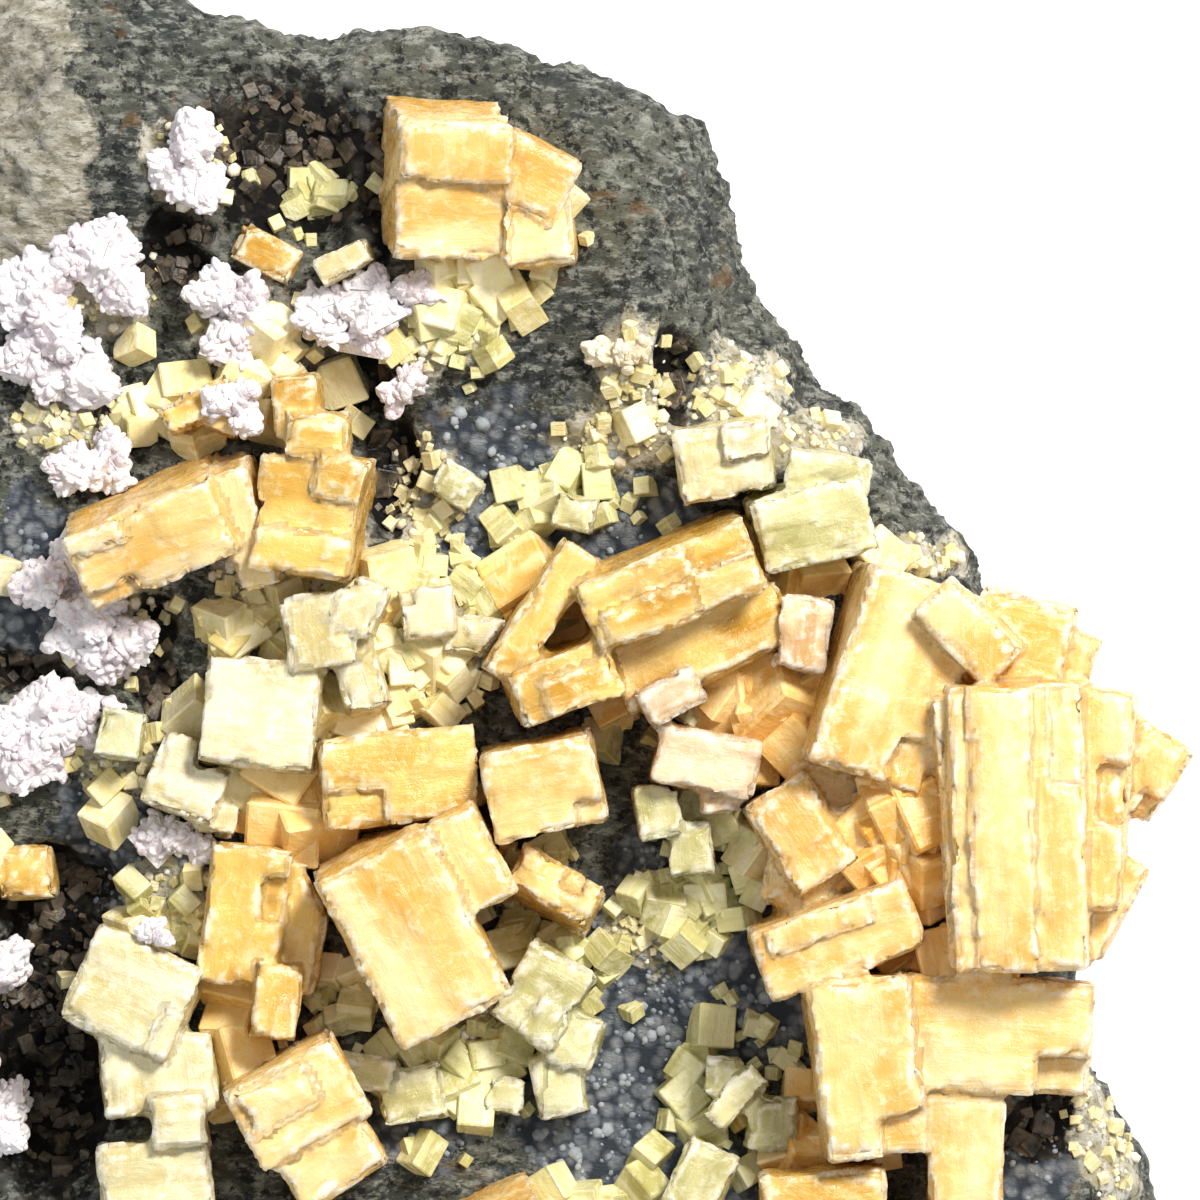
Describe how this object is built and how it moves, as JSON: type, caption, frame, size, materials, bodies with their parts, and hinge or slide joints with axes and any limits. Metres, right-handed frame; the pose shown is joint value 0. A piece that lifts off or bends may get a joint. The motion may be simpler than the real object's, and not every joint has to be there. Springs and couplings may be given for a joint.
{
  "type": "fluorite with barite specimen",
  "caption": "Hand specimen of intergrown honey-yellow fluorite cubes with white barite rosettes on dark vein rock, lying on its flat broken back.",
  "frame": {"origin": "on the resting plane, under the middle of the specimen's box", "axes": "+Z up from the flat back towards the crystals, +Y along the specimen's longest side, +X to the right when the crystals are seen from above with +Y up"},
  "size_m": [0.1298, 0.1404, 0.0482],
  "materials": {
    "rock": "rough broken",
    "honey_fluorite": "translucent satin",
    "pale_fluorite": "translucent frosted",
    "barite": "matt white"
  },
  "bodies": {
    "root": {"matrix": "rock", "fluorite_right_cluster": "honey_fluorite", "fluorite_bottom_block": "honey_fluorite", "fluorite_central": "honey_fluorite", "fluorite_brown": "honey_fluorite", "fluorite_wedge": "honey_fluorite", "fluorite_upper_right": "honey_fluorite", "fluorite_crusted": "honey_fluorite", "fluorite_middle_right": "honey_fluorite", "fluorite_striped": "honey_fluorite", "fluorite_middle": "honey_fluorite", "fluorite_lower_cube": "honey_fluorite", "fluorite_lower_back": "honey_fluorite", "fluorite_shaded": "honey_fluorite", "fluorite_corner": "pale_fluorite", "fluorite_bottom_left": "honey_fluorite", "fluorite_green": "pale_fluorite", "fluorite_green_right": "pale_fluorite", "fluorite_left_cube": "honey_fluorite", "fluorite_left_pair": "honey_fluorite", "fluorite_slab": "honey_fluorite", "fluorite_pale_group": "pale_fluorite", "fluorite_left_small": "honey_fluorite", "fluorite_upper": "honey_fluorite", "fluorite_pocket": "honey_fluorite", "fluorite_ledge": "honey_fluorite", "fluorite_pale_cube": "pale_fluorite", "fluorite_grey_cube": "honey_fluorite", "fluorite_set_cube": "honey_fluorite", "fluorite_foot_cubes": "honey_fluorite", "fluorite_floor_cube": "honey_fluorite", "fluorite_bottom_small": "honey_fluorite", "fluorite_shadow_crystal": "honey_fluorite", "fluorite_barite_cube": "honey_fluorite", "fluorite_far_left": "honey_fluorite", "fluorite_far_bottom": "honey_fluorite", "fluorite_far_corner": "pale_fluorite", "barite_upper": "barite", "barite_fall": "barite", "barite_crest": "barite", "barite_left_upper": "barite", "barite_left_edge": "barite", "barite_on_slab": "barite", "barite_dot": "barite", "barite_shelf": "barite", "barite_diagonal": "barite", "barite_fan": "barite", "barite_small_fan": "barite", "barite_bead": "barite", "barite_low": "barite", "barite_lowest": "barite", "barite_outer": "barite", "barite_bottom": "barite", "barite_fin": "barite"}
  },
  "joints": []
}
